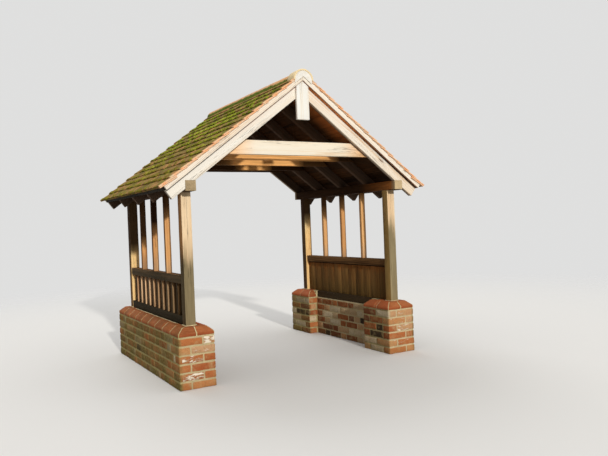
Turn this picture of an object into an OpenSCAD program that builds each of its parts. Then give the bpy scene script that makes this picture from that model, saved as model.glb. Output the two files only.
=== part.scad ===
// Timber lychgate with a gabled tiled roof, standing on two brick dwarf walls.
// Millimetres, +Z up, ground at z = 0, the passage runs along Y, the front faces -Y.
// The left side is drawn and the right side mirrors it; the rear gable repeats the front.

/* [Brick walls] */
// Width over the outer faces of the two brick walls
outer_width = 2545; // [2200:5:3200]
// Length of each brick wall from front to rear
wall_length = 2030; // [1700:10:2800]
// Height of the brickwork below the coping, six courses of 75
wall_height = 450; // [300:75:750]
// Thickness of a pier at the wall's end, one and a half bricks
pier_width = 328; // [300:1:450]
// Length of a pier along the wall, two bricks
pier_length = 440; // [330:5:550]
// Thickness of the wall between its piers, one brick
wall_thickness = 215; // [210:1:225]

/* [Coping] */
// Height of the splayed coping with its bed joint
coping_height = 75; // [65:1:90]
// Upright part of the coping's face, below the splay
coping_lip = 28; // [15:1:40]
// Run of the splay, from the face to the flat top
coping_splay = 56; // [30:1:60]
// Width of the coping bricks along the wall between the piers
coping_width = 102; // [95:1:105]

/* [Side frames] */
// Width of a square post
post_width = 90; // [75:5:120]
// From a wall's outer face to the outer face of the posts
post_side_inset = 110; // [104:1:120]
// From a wall's end to the near face of the post
post_end_inset = 108; // [70:1:150]
// Height of the plate's underside above the ground
plate_underside = 1685; // [1500:5:2200]
// Width of a wall plate
plate_width = 95; // [75:5:120]
// Height of a wall plate
plate_height = 90; // [75:5:120]
// Height of the mid rail's underside above the ground
rail_underside = 884; // [800:4:1000]
// Height of a mid rail
rail_height = 74; // [50:2:100]
// Width of a mid rail
rail_width = 75; // [66:1:80]
// Width of a stud, across the frame
stud_width = 54; // [40:2:70]
// Thickness of a stud, along the frame
stud_thickness = 40; // [30:2:70]
// Number of studs between two posts
stud_count = 3; // [1:1:5]
// Distance between the centres of two studs
stud_pitch = 400; // [250:5:500]
// How far the row of studs stands towards the rear of the middle
stud_shift = 25; // [0:5:40]
// How far the studs' outer faces stand back from those of the posts
stud_setback = 10; // [0:1:15]
// How far the outer faces of the rails stand back from those of the posts
rail_setback = 2; // [0:1:5]

/* [Side panels] */
// Height of the bottom rail on the outside of a panel
bottom_rail_height = 74; // [50:2:100]
// Thickness of the boarding in a panel
panel_thickness = 20; // [12:1:25]
// Depth of the bars that cover the board joints outside
bar_depth = 25; // [15:1:28]
// Width of a bar
bar_width = 45; // [30:1:60]
// How far the bars' faces stand back from the posts' outer faces
bar_setback = 10; // [4:1:12]
// Number of bars on a panel
bar_count = 10; // [4:1:12]

/* [Roof frame] */
// Slope of the roof, in degrees
roof_pitch = 37; // [32:0.5:45]
// Depth of a rafter, square to the slope
rafter_depth = 95; // [75:1:125]
// Thickness of a rafter
rafter_thickness = 50; // [38:1:60]
// Number of rafter couples
couple_count = 5; // [3:1:7]
// How far the end couples and the plates stand in front of the walls
gable_overhang = 28; // [0:2:80]
// How far the rafters' upper edges run past the walls
foot_overhang = 67; // [40:1:120]
// Height of the collars' underside above the ground
collar_underside = 2013; // [1900:1:2100]
// Depth of a collar
collar_depth = 130; // [90:5:150]
// Thickness of a collar
collar_thickness = 45; // [30:1:50]
// From the rafters' upper edges in to the collars' cut ends, square to the slope
collar_end_cover = 10; // [5:1:20]
// How much higher the rear collar is fixed than the others
rear_collar_rise = 26; // [0:2:40]
// Width of the block that hangs under a gable's peak
pendant_width = 130; // [80:5:160]
// Length of the block below the rafters' upper corner
pendant_drop = 363; // [250:1:400]
// Thickness of the block
pendant_thickness = 30; // [20:1:35]

/* [Roof covering] */
// Thickness of the roof boarding
boarding_thickness = 20; // [12:1:25]
// Depth of the barge boards and eaves boards, square to the slope
edge_board_depth = 45; // [35:1:60]
// Thickness of the barge boards and eaves boards
edge_board_thickness = 20; // [15:1:25]
// How far the roof boarding runs past the end couples
boarding_overhang = 25; // [10:1:50]
// How far the tiles run past the barge boards
verge_overhang = 17; // [5:1:40]
// How far the tiles run past the walls at the eaves, level
eaves_overhang = 140; // [130:2:180]
// Number of tile courses on a slope
course_count = 14; // [10:1:20]
// Height of the tile layer at the lower edge of a course
tile_rise = 25; // [18:1:35]
// Step from one course to the next
course_step = 12; // [6:1:15]
// Outer radius of the half-round ridge tiles
ridge_radius = 105; // [95:1:115]
// Thickness of the ridge tiles
ridge_thickness = 15; // [10:1:20]
// How far the ridge tiles are pressed down over the tile coat
ridge_seat = 9; // [0:1:15]
// How far the mortar at the ridge's ends stands back
mortar_setback = 6; // [2:1:15]

/* [Hidden] */
$fn = 96;
half_width = outer_width / 2;
half_length = wall_length / 2;
coping_top = wall_height + coping_height;
post_bottom = coping_top;
post_centre = half_width - post_side_inset - post_width / 2;
frame_outer = half_width - post_side_inset;
frame_inner = frame_outer - post_width;
plate_outer = post_centre + plate_width / 2;
plate_inner = post_centre - plate_width / 2;
plate_top = plate_underside + plate_height;
plate_end = half_length + gable_overhang;
bay_end = half_length - post_end_inset - post_width;
bottom_rail_top = post_bottom + bottom_rail_height;
rail_top = rail_underside + rail_height;
board_outer = frame_outer - bar_setback - bar_depth;
board_inner = board_outer - panel_thickness;
rail_face = frame_outer - rail_setback;
stud_face = frame_outer - stud_setback;
// The sill fills the wall's head between the coping and the inner brick edge.
sill_outer = half_width - coping_width;
sill_inner = frame_inner;
slope = tan(roof_pitch);
upright = 1 / cos(roof_pitch);
couple_pitch = (2 * plate_end - rafter_thickness) / (couple_count - 1);
foot_x = half_width + foot_overhang;
boarding_x = foot_x - edge_board_thickness * cos(roof_pitch);
boarding_end = plate_end + boarding_overhang;
barge_end = boarding_end + edge_board_thickness;
tile_end = barge_end + verge_overhang;
eaves_x = half_width + eaves_overhang;
peak_z = rafter_top(0);
tile_top = edge_board_depth + tile_rise;
tile_x = eaves_x - tile_top * sin(roof_pitch);
gauge = tile_x / course_count;
// The tile coat's lower part, between the barge boards, runs up into its courses.
tile_lap = (tile_rise - course_step) / 2;
ridge_z = peak_z + tile_top * upright - ridge_radius * slope - ridge_seat;
ridge_inner = ridge_radius - ridge_thickness;

// Height of the rafters' lower edge at a level distance from the middle.
function rafter_bottom(x) = plate_top + (plate_inner - x) * slope;

// Height of the rafters' upper edge at a level distance from the middle.
function rafter_top(x) = rafter_bottom(x) + rafter_depth * upright;

// A point on the left slope: x of its foot on the rafters' upper edge, then square out.
function on_slope(x, out) = [
    -x - out * sin(roof_pitch),
    rafter_top(x) + out * cos(roof_pitch)
];

// The level distance of a rafter's upper edge at a height.
function rafter_x(z) = (rafter_top(0) - z) / slope;

module brick() color([0.66, 0.36, 0.24]) children();
module splayed_brick() color([0.70, 0.31, 0.20]) children();
module oak() color([0.62, 0.45, 0.28]) children();
module pale_oak() color([0.85, 0.70, 0.48]) children();
module dark_oak() color([0.38, 0.27, 0.18]) children();
module tile_clay() color([0.45, 0.36, 0.24]) children();
module mortar() color([0.84, 0.80, 0.72]) children();

// The right side repeats the left.
module to_right() mirror([1, 0, 0]) children();
module to_rear() mirror([0, 1, 0]) children();

// A box given by its two corners.
module box(low, high) translate(low) cube(high - low);

// A drawing in X and Z, drawn out along Y from one end to the other.
module along_y(from, to) {
    translate([0, to, 0])
        rotate([90, 0, 0])
            linear_extrude(to - from)
                children();
}

// A drawing in Y and Z, drawn out along X from one end to the other.
module along_x(from, to) {
    translate([from, 0, 0])
        rotate([90, 0, 90])
            linear_extrude(to - from)
                children();
}

// The brickwork.

module front_pier() {
    brick()
        box([-half_width, -half_length, 0],
            [-half_width + pier_width, -half_length + pier_length, wall_height]);
}

module middle_wall() {
    brick()
        box([-half_width, -half_length + pier_length, 0],
            [-half_width + wall_thickness, half_length - pier_length, wall_height]);
}

// Section of a coping that is splayed at its low end, and at its high end if asked.
module splayed(low, high, both) {
    polygon(concat(
        [
            [low, wall_height],
            [low, wall_height + coping_lip],
            [low + coping_splay, coping_top]
        ],
        both
            ? [[high - coping_splay, coping_top], [high, wall_height + coping_lip]]
            : [[high, coping_top]],
        [[high, wall_height]]
    ));
}

// The cap of a pier: splayed at the front, outside, inside and on its return.
module pier_cap() {
    pier_inner = -half_width + pier_width;
    wall_inner = -half_width + wall_thickness;
    pier_back = -half_length + pier_length;
    intersection() {
        along_y(-half_length, pier_back)
            splayed(-half_width, pier_inner, true);
        union() {
            along_x(-half_width, wall_inner)
                splayed(-half_length, pier_back, false);
            along_x(-half_width, pier_inner)
                splayed(-half_length, pier_back, true);
        }
    }
}

// The row along the wall runs one brick's width into the caps, inside their shape.
module coping() {
    row_end = half_length - pier_length + coping_width;
    splayed_brick() {
        pier_cap();
        to_rear() pier_cap();
        along_y(-row_end, row_end)
            splayed(-half_width, -half_width + coping_width, false);
    }
}

// The side frame.

module sill() {
    dark_oak()
        box([-sill_outer, -half_length + pier_length, wall_height],
            [-sill_inner, half_length - pier_length, coping_top]);
}

module post() {
    front = -half_length + post_end_inset;
    oak()
        box([-frame_outer, front, post_bottom],
            [-frame_inner, front + post_width, plate_underside]);
}

module studs() {
    first = stud_shift - (stud_count - 1) * stud_pitch / 2;
    oak()
        for (i = [0 : stud_count - 1]) {
            y = first + i * stud_pitch;
            box([-stud_face, y - stud_thickness / 2, rail_top],
                [-stud_face + stud_width, y + stud_thickness / 2, plate_underside]);
        }
}

module bottom_rail() {
    dark_oak()
        box([-rail_face, -bay_end, post_bottom],
            [-board_outer, bay_end, bottom_rail_top]);
}

module mid_rail() {
    oak()
        box([-rail_face, -bay_end, rail_underside],
            [-rail_face + rail_width, bay_end, rail_top]);
}

module panel_boards() {
    dark_oak()
        box([-board_outer, -bay_end, post_bottom],
            [-board_inner, bay_end, rail_underside]);
}

module panel_bars() {
    pitch = 2 * bay_end / (bar_count + 1);
    oak()
        for (i = [1 : bar_count]) {
            y = -bay_end + i * pitch;
            box([-board_outer - bar_depth, y - bar_width / 2, bottom_rail_top],
                [-board_outer, y + bar_width / 2, rail_underside]);
        }
}

module plate() {
    dark_oak()
        box([-plate_outer, -plate_end, plate_underside],
            [-plate_inner, plate_end, plate_top]);
}

// The roof frame.

// A rafter with a birdsmouth over the plate and a foot cut square to the slope.
module rafter_outline() {
    foot = on_slope(foot_x, 0);
    polygon([
        foot,
        foot + rafter_depth * [sin(roof_pitch), -cos(roof_pitch)],
        [-plate_outer, rafter_bottom(plate_outer)],
        [-plate_outer, plate_top],
        [-plate_inner, plate_top],
        [0, rafter_bottom(0)],
        [0, rafter_top(0)]
    ]);
}

module rafters() {
    pale_oak()
        for (i = [0 : couple_count - 1]) {
            y = -plate_end + i * couple_pitch;
            along_y(y, y + rafter_thickness) rafter_outline();
        }
}

// A collar with its ends cut to the slope.
module collar_outline(bottom) {
    top = bottom + collar_depth;
    low = rafter_x(bottom + collar_end_cover * upright);
    high = rafter_x(top + collar_end_cover * upright);
    polygon([[-low, bottom], [low, bottom], [high, top], [-high, top]]);
}

// The first collar lies behind its couple, and the others in front of theirs.
module collars() {
    last = couple_count - 1;
    pale_oak()
        for (i = [0 : last]) {
            couple_front = -plate_end + i * couple_pitch;
            y = i == 0
                ? couple_front + rafter_thickness
                : couple_front - collar_thickness;
            bottom = collar_underside + (i == last ? rear_collar_rise : 0);
            along_y(y, y + collar_thickness) collar_outline(bottom);
        }
}

module pendant() {
    side = pendant_width / 2;
    pale_oak()
        along_y(-plate_end - pendant_thickness, -plate_end)
            polygon([
                [-side, peak_z - pendant_drop],
                [side, peak_z - pendant_drop],
                [side, rafter_top(side)],
                [0, peak_z],
                [-side, rafter_top(side)]
            ]);
}

// The roof covering.

// A layer on the left slope between two heights above the rafters.
// start is the level distance of its lower end, which is cut square to the slope.
module slope_layer(start, low, high) {
    polygon([
        on_slope(start, low),
        on_slope(start, high),
        [0, peak_z + high * upright],
        [0, peak_z + low * upright]
    ]);
}

module roof_boarding() {
    dark_oak()
        along_y(-boarding_end, boarding_end)
            slope_layer(boarding_x, 0, boarding_thickness);
}

module eaves_board() {
    oak()
        along_y(-boarding_end, boarding_end)
            polygon([
                on_slope(foot_x, 0),
                on_slope(foot_x, edge_board_depth),
                on_slope(boarding_x, edge_board_depth),
                on_slope(boarding_x, 0)
            ]);
}

module barge() {
    pale_oak()
        along_y(-barge_end, -boarding_end)
            slope_layer(foot_x, 0, edge_board_depth);
}

// The stepped upper line of the tile courses. The last course passes the ridge line.
course_line = [
    for (i = [0 : course_count])
        for (corner = [0, 1])
            on_slope(tile_x - (i + corner) * gauge, tile_top - corner * course_step)
];

// Section of the left slope's courses, cut off upright at the ridge line.
module courses() {
    past_ridge = tile_x - (course_count + 1) * gauge;
    intersection() {
        polygon(concat(
            [on_slope(tile_x, edge_board_depth)],
            course_line,
            [on_slope(past_ridge, edge_board_depth)]
        ));
        translate([-eaves_x, 0]) square([eaves_x, 2 * peak_z]);
    }
}

module tile_coat() {
    tile_clay() {
        along_y(-tile_end, tile_end) courses();
        along_y(-boarding_end, boarding_end)
            slope_layer(boarding_x, boarding_thickness, edge_board_depth + tile_lap);
    }
}

// What the ridge tiles are fitted over: both slopes' courses and all that lies below.
module under_ridge() {
    courses();
    to_right() courses();
    slope_layer(tile_x, -ridge_radius, edge_board_depth + tile_lap);
    to_right() slope_layer(tile_x, -ridge_radius, edge_board_depth + tile_lap);
}

module half_round(radius) {
    translate([0, ridge_z])
        intersection() {
            circle(radius);
            translate([-radius, 0]) square([2 * radius, radius]);
        }
}

module ridge() {
    tile_clay()
        along_y(-tile_end, tile_end)
            difference() {
                half_round(ridge_radius);
                half_round(ridge_inner);
                under_ridge();
            }
}

module ridge_bed() {
    mortar()
        along_y(-tile_end + mortar_setback, tile_end - mortar_setback)
            difference() {
                half_round(ridge_inner);
                under_ridge();
            }
}

front_pier();  // left_front_pier
middle_wall();  // left_wall
to_rear() front_pier();  // left_rear_pier
coping();  // left_coping
sill();  // left_sill
post();  // left_front_post
to_rear() post();  // left_rear_post
studs();  // left_studs
bottom_rail();  // left_bottom_rail
mid_rail();  // left_mid_rail
panel_boards();  // left_panel_boards
panel_bars();  // left_panel_bars
plate();  // left_plate
to_right() front_pier();  // right_front_pier
to_right() middle_wall();  // right_wall
to_right() to_rear() front_pier();  // right_rear_pier
to_right() coping();  // right_coping
to_right() sill();  // right_sill
to_right() post();  // right_front_post
to_right() to_rear() post();  // right_rear_post
to_right() studs();  // right_studs
to_right() bottom_rail();  // right_bottom_rail
to_right() mid_rail();  // right_mid_rail
to_right() panel_boards();  // right_panel_boards
to_right() panel_bars();  // right_panel_bars
to_right() plate();  // right_plate
rafters();  // left_rafters
to_right() rafters();  // right_rafters
collars();
roof_boarding();  // left_roof_boarding
to_right() roof_boarding();  // right_roof_boarding
tile_coat();  // left_tiles
to_right() tile_coat();  // right_tiles
ridge();  // ridge_tiles
ridge_bed();  // ridge_mortar
eaves_board();  // left_eaves_board
to_right() eaves_board();  // right_eaves_board
barge();  // front_left_barge
to_right() barge();  // front_right_barge
to_rear() barge();  // rear_left_barge
to_right() to_rear() barge();  // rear_right_barge
pendant();  // front_pendant
to_rear() pendant();  // rear_pendant
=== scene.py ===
"""Looks of the lychgate. Metres, +Z up, the front faces -Y, the passage runs along Y.

side is -1 on the left and 1 on the right. Over a wall, u runs inward from its outer face and y
from its front end.
"""
import math
import random
from functools import partial

import bmesh
import bpy
from mathutils import Matrix, Vector, noise


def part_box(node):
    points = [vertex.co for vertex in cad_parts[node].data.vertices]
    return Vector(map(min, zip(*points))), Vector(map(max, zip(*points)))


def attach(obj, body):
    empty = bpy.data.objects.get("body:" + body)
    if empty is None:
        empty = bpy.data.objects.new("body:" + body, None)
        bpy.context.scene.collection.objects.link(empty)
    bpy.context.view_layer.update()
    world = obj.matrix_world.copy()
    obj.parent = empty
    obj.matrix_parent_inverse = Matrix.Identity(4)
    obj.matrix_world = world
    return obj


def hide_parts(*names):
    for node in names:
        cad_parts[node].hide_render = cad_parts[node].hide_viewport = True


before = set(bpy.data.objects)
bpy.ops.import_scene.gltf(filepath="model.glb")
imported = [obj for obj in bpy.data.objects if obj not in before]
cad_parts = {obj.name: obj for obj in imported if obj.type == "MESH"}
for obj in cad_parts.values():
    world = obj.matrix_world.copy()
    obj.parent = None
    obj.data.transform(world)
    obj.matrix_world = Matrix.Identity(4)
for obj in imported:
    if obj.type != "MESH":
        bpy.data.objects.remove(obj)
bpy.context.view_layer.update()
# What noise_vector gives depends on this seed.
noise.seed_set(1)

SIDES = {-1: "left", 1: "right"}

# Sizes that the part's source has too.
HALF_WIDTH = 1.2725
HALF_LENGTH = 1.015
LENGTH = 2 * HALF_LENGTH
WALL_HEIGHT = 0.450
PIER_WIDTH = 0.328
PIER_LENGTH = 0.440
WALL_THICKNESS = 0.215
COPING_TOP = 0.525
COPING_DEPTH = 0.102
PLATE_TOP = 1.775
PLATE_INNER = 1.070
RAFTER_DEPTH = 0.095
PITCH = math.radians(37)
COS, SIN, TAN = math.cos(PITCH), math.sin(PITCH), math.tan(PITCH)
FOOT_OVERHANG = 0.067
EAVES_OVERHANG = 0.140
BOARDING_END = 1.068
TILE_END = 1.105
EDGE_BOARD = 0.045
EDGE_THICKNESS = 0.020
BOARDING_X = HALF_WIDTH + FOOT_OVERHANG - EDGE_THICKNESS * COS
TILE_TOP = 0.070
TILE_X = HALF_WIDTH + EAVES_OVERHANG - TILE_TOP * SIN
COURSES = 14
GAUGE = TILE_X / COURSES
COURSE_STEP = 0.012
RIDGE_RADIUS = 0.105
RIDGE_WALL = 0.015

# Sizes of what is only seen.
WALL_COURSES = 6
BRICK_COURSE = 0.075
JOINT = 0.010
BED_JOINT = 0.013
# Lengths of a stretcher, a header, a closer and a three-quarter brick.
BRICK = {"S": 0.215, "H": 0.1025, "c": 0.046, "Q": 0.160}
BRICK_DEPTH = 0.1025
BRICK_ARRIS = 0.0055
JOINT_RECESS = 0.0045
# How close counts as on an edge or a face.
NEAR = 0.006
COPING_PITCH = 0.225
# Length of the short brick in the right front pier's coping.
COPING_SLIP = 0.035
OUTER_COPING_JOINT = 0.018
COPING_RECESS = 0.0032
POINTING = 0.009
BOARDS = 11
PANEL_GAP = 0.001
PANEL_SHIFT = 0.0012
BOARDING_GAP = 0.002
TILE_THICKNESS = 0.012
TILE_LENGTH = 0.176
TILE_GAP = 0.003
TILES_IN_COURSE = 13
TILE_FALL = COURSE_STEP / (GAUGE / COS)
PEAK_Z = PLATE_TOP + PLATE_INNER * TAN + RAFTER_DEPTH / COS
RIDGE_Z = PEAK_Z + TILE_TOP / COS - RIDGE_RADIUS * TAN - 0.009
RIDGE_CAP_END = 0.972
RIDGE_DROP = 0.012
RIDGE_LENGTHS = 6
RIDGE_GAP = 0.008
RIDGE_JOINT = 0.012
LOW_RIDGE_RADIUS = 0.092
BED_END = 1.1005
BED_RADIUS = RIDGE_RADIUS - RIDGE_WALL + 0.001
GROWTH_RING = 0.0075
SHARP_ANGLE = math.radians(38)


def rgb(red, green, blue):
    """Linear colour from the usual 0 to 255 values."""
    def linear(value):
        value /= 255
        return value / 12.92 if value <= 0.04045 else ((value + 0.055) / 1.055) ** 2.4
    return (linear(red), linear(green), linear(blue), 1.0)


# Node materials

class Value:
    """An output of a shader node. Sums written on it add Math nodes."""

    def __init__(self, socket):
        self.socket = socket
        self.tree = socket.id_data

    def output(self, name):
        """Another output of the same node."""
        return Value(self.socket.node.outputs[name])

    def calc(self, operation, other=0.0):
        """A Math node on this and, if it takes two, the other."""
        return node(self.tree, "Math", {0: self, 1: other}, operation=operation)

    def __add__(self, other):
        return self.calc("ADD", other)

    def __sub__(self, other):
        return self.calc("SUBTRACT", other)

    def __mul__(self, other):
        return self.calc("MULTIPLY", other)

    def clamped(self):
        """Held between 0 and 1. Only for what a Math node gives."""
        self.socket.node.use_clamp = True
        return self

    def split(self):
        """The three numbers of a vector or colour."""
        made = node(self.tree, "SeparateXYZ", {0: self})
        return [made.output(name) for name in "XYZ"]

    def stretch(self, x, y, z):
        """A vector with its three numbers multiplied."""
        return node(self.tree, "VectorMath", {0: self, 1: (x, y, z)}, operation="MULTIPLY")

    def cloud(self, scale=1.0, detail=4.0, rough=0.55, twist=0.0):
        """Noise from about 0.25 to 0.75 at so many lumps a metre."""
        return node(self.tree, "TexNoise", {"Vector": self, "Scale": scale, "Detail": detail,
                                            "Roughness": rough, "Distortion": twist})

    def span(self, low, high, to_low=0.0, to_high=1.0):
        """Goes smoothly from to_low where this is low to to_high where it is high."""
        return node(self.tree, "MapRange", {"Value": self, "From Min": low, "From Max": high,
                                            "To Min": to_low, "To Max": to_high},
                    interpolation_type="SMOOTHSTEP")

    def ramp(self, *stops):
        """Colours along it. stops: (place, colour)."""
        made = node(self.tree, "ValToRGB", {0: self})
        elements = made.socket.node.color_ramp.elements
        while len(elements) < len(stops):
            elements.new(0.5)
        # All the places first, because Blender sorts the stops by them.
        for element, (place, _) in zip(elements, stops):
            element.position = place
        for element, (_, colour) in zip(elements, stops):
            element.color = colour
        return made


def node(tree, kind, inputs, output=0, **settings):
    """Adds a shader node and gives an output. inputs: {socket: number, colour or Value}."""
    made = tree.nodes.new("ShaderNode" + kind)
    for key, value in settings.items():
        setattr(made, key, value)
    for key, value in inputs.items():
        if isinstance(value, Value):
            tree.links.new(value.socket, made.inputs[key])
        else:
            made.inputs[key].default_value = value
    return Value(made.outputs[output])


def mix(share, a, b, blend="MIX"):
    """a, with so much of b over it."""
    tree = next(value.tree for value in (share, a, b) if isinstance(value, Value))
    return node(tree, "Mix", {0: share, 6: a, 7: b}, 2, data_type="RGBA", blend_type=blend)


def layered(colour, *layers):
    """A colour with others over it. layers: (share, colour)."""
    for share, over in layers:
        colour = mix(share, colour, over)
    return colour


def sanded(colour, grain, dark, light, low=0.25):
    """A colour made darker and lighter by a grain."""
    return mix(1.0, colour, grain.ramp((low, (*dark, 1)), (1 - low, (*light, 1))), "MULTIPLY")


class Look:
    """A material in the making.

    tint is the four numbers of a point, own its place in the piece's own grain, place and height
    where it is in the world.
    """

    def __init__(self, name):
        self.material = bpy.data.materials.new(name)
        self.material.use_nodes = True
        self.tree = self.material.node_tree
        tint = node(self.tree, "Attribute", {}, "Vector", attribute_name="tint")
        self.tint = [*tint.split(), tint.output("Alpha")]
        self.own = node(self.tree, "Attribute", {}, "Vector", attribute_name="place")
        self.place = node(self.tree, "NewGeometry", {}, "Position")
        self.height = self.place.split()[2]

    def finish(self, colour, rough, tall, distance, shine):
        """Links colour, roughness and bump to the shader."""
        inputs = self.tree.nodes["Principled BSDF"].inputs
        inputs["Specular IOR Level"].default_value = shine
        bump = node(self.tree, "Bump", {"Strength": 1.0, "Distance": distance, "Height": tall})
        for name, value in (("Base Color", colour), ("Roughness", rough), ("Normal", bump)):
            self.tree.links.new(value.socket, inputs[name])
        return self.material


def brick_material():
    """Reclaimed facing brick. tint: tone, seed, old paint, outer side and painted shade."""
    look = Look("brick")
    tone, seed, paint, outer = look.tint
    own = node(look.tree, "VectorMath", {0: look.place, 1: seed.stretch(31, 17, 23)}, operation="ADD")
    coarse = own.cloud(60, 6, 0.65)
    sand = own.cloud(420, 3, 0.7)
    base = tone.ramp((0.00, rgb(46, 38, 37)), (0.05, rgb(58, 44, 42)), (0.09, rgb(104, 58, 48)),
                     (0.22, rgb(138, 78, 48)), (0.36, rgb(168, 94, 56)), (0.50, rgb(184, 115, 70)),
                     (0.62, rgb(192, 138, 92)), (0.74, rgb(198, 158, 122)), (0.84, rgb(194, 168, 134)),
                     (0.93, rgb(218, 204, 176)), (1.00, rgb(158, 138, 108)))
    worn = layered(base, (own.cloud(14, 5).span(0.46, 0.72, 0.0, 0.42), rgb(192, 156, 110)),
                   (coarse.span(0.5, 0.72, 0.0, 0.5), rgb(112, 72, 54)))
    worn = sanded(worn, sand, (0.62, 0.62, 0.62), (1.32, 1.3, 1.26))
    # Lime washed over some faces, and what is left of old paint.
    bloom = own.cloud(9, 6, 0.7, 0.8).span(0.52, 0.70, 0.0, 0.5)
    flakes = (own.stretch(13, 13, 44).cloud(1.0, 5, 0.6, 0.6) + paint * 0.2).span(0.60, 0.69)
    flakes = flakes * (paint * (outer * -16.0 + 4.0)).clamped()
    # Green film on the outer side and near the ground, and on the rear piers' inner faces as painted shade.
    film = outer * 0.95 + look.height.span(0.14, 0.0, 0.0, 0.25)
    cover = look.place.cloud(6, 6, 0.65) + seed * 0.22
    film = (film * cover.span(0.42, 0.76, 0.36, 0.98)).clamped()
    colour = layered(worn, (bloom, rgb(186, 166, 124)), (flakes, rgb(238, 226, 206)),
                     (film, mix(coarse.span(0.35, 0.65), rgb(98, 86, 48), rgb(138, 122, 74))))
    tall = coarse * 0.8 + sand * 0.35 + flakes
    return look.finish(colour, sand.span(0.2, 0.8, 0.82, 0.97), tall, 0.003, 0.04)


def mortar_material(name, pale, dark, green):
    """Lime mortar. green is the share of film near the ground. tint: paleness, 0, outer side and painted
    shade, 0.
    """
    look = Look(name)
    paleness, _, outer, _ = look.tint
    lumps = look.place.cloud(30, 6, 0.65)
    sand = look.place.cloud(500, 3, 0.75)
    colour = mix(paleness, lumps.ramp((0.3, dark), (0.62, pale)), rgb(228, 208, 172))
    colour = sanded(colour, sand, (0.72, 0.72, 0.70), (1.2, 1.2, 1.2))
    film = look.height.span(0.22, 0.0, 0.1, green) * look.place.cloud(6, 5).span(0.35, 0.65)
    colour = layered(colour, (film, rgb(84, 86, 52)),
                     (outer * lumps.span(0.3, 0.7, 0.9, 0.6), rgb(176, 164, 112)))
    return look.finish(colour, sand.span(0.2, 0.8, 0.86, 0.98), lumps + sand * 0.5, 0.003, 0.03)


def coping_material():
    """Smooth pressed brick with drag lines along it. tint: tone, seed, inner side, outer side."""
    look = Look("coping_brick")
    tone, _, inner, outer = look.tint
    drag = look.own.stretch(6, 170, 170).cloud(1.0, 4, 0.6, 0.3)
    blotch = look.own.cloud(16, 5, 0.6)
    sand = look.own.cloud(520, 3, 0.7)
    base = tone.ramp((0.0, rgb(138, 74, 45)), (0.4, rgb(154, 86, 51)), (0.75, rgb(168, 98, 58)),
                     (1.0, rgb(160, 86, 53)))
    # The darker red low on the lip is painted shade.
    colour = layered(base, (drag.span(0.45, 0.7, 0.0, 0.6), rgb(204, 136, 88)),
                     (blotch.span(0.50, 0.72, 0.0, 0.6), rgb(124, 66, 42)),
                     (look.height.span(0.480, 0.466, 0.0, 0.6), rgb(146, 62, 34)),
                     (outer * 0.5, rgb(176, 108, 58)), (inner * 0.6, rgb(206, 112, 68)))
    colour = sanded(colour, sand, (0.8, 0.8, 0.8), (1.15, 1.15, 1.15))
    stain_and_painted_light = outer * 0.55 * look.place.cloud(7, 6, 0.65).span(0.42, 0.66)
    colour = mix(stain_and_painted_light, colour, rgb(112, 82, 50))
    tall = drag * 0.9 + sand * 0.35
    return look.finish(colour, blotch.span(0.3, 0.7, 0.62, 0.85), tall, 0.0012, 0.1)


def figured(figure, tone):
    """A wood colour, darker and lighter with the figure."""
    stops = [(place, [part * light for part in rgb(*tone)[:3]] + [1])
             for place, light in ((0.36, 0.62), (0.70, 1.38))]
    return figure.ramp(*stops)


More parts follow.
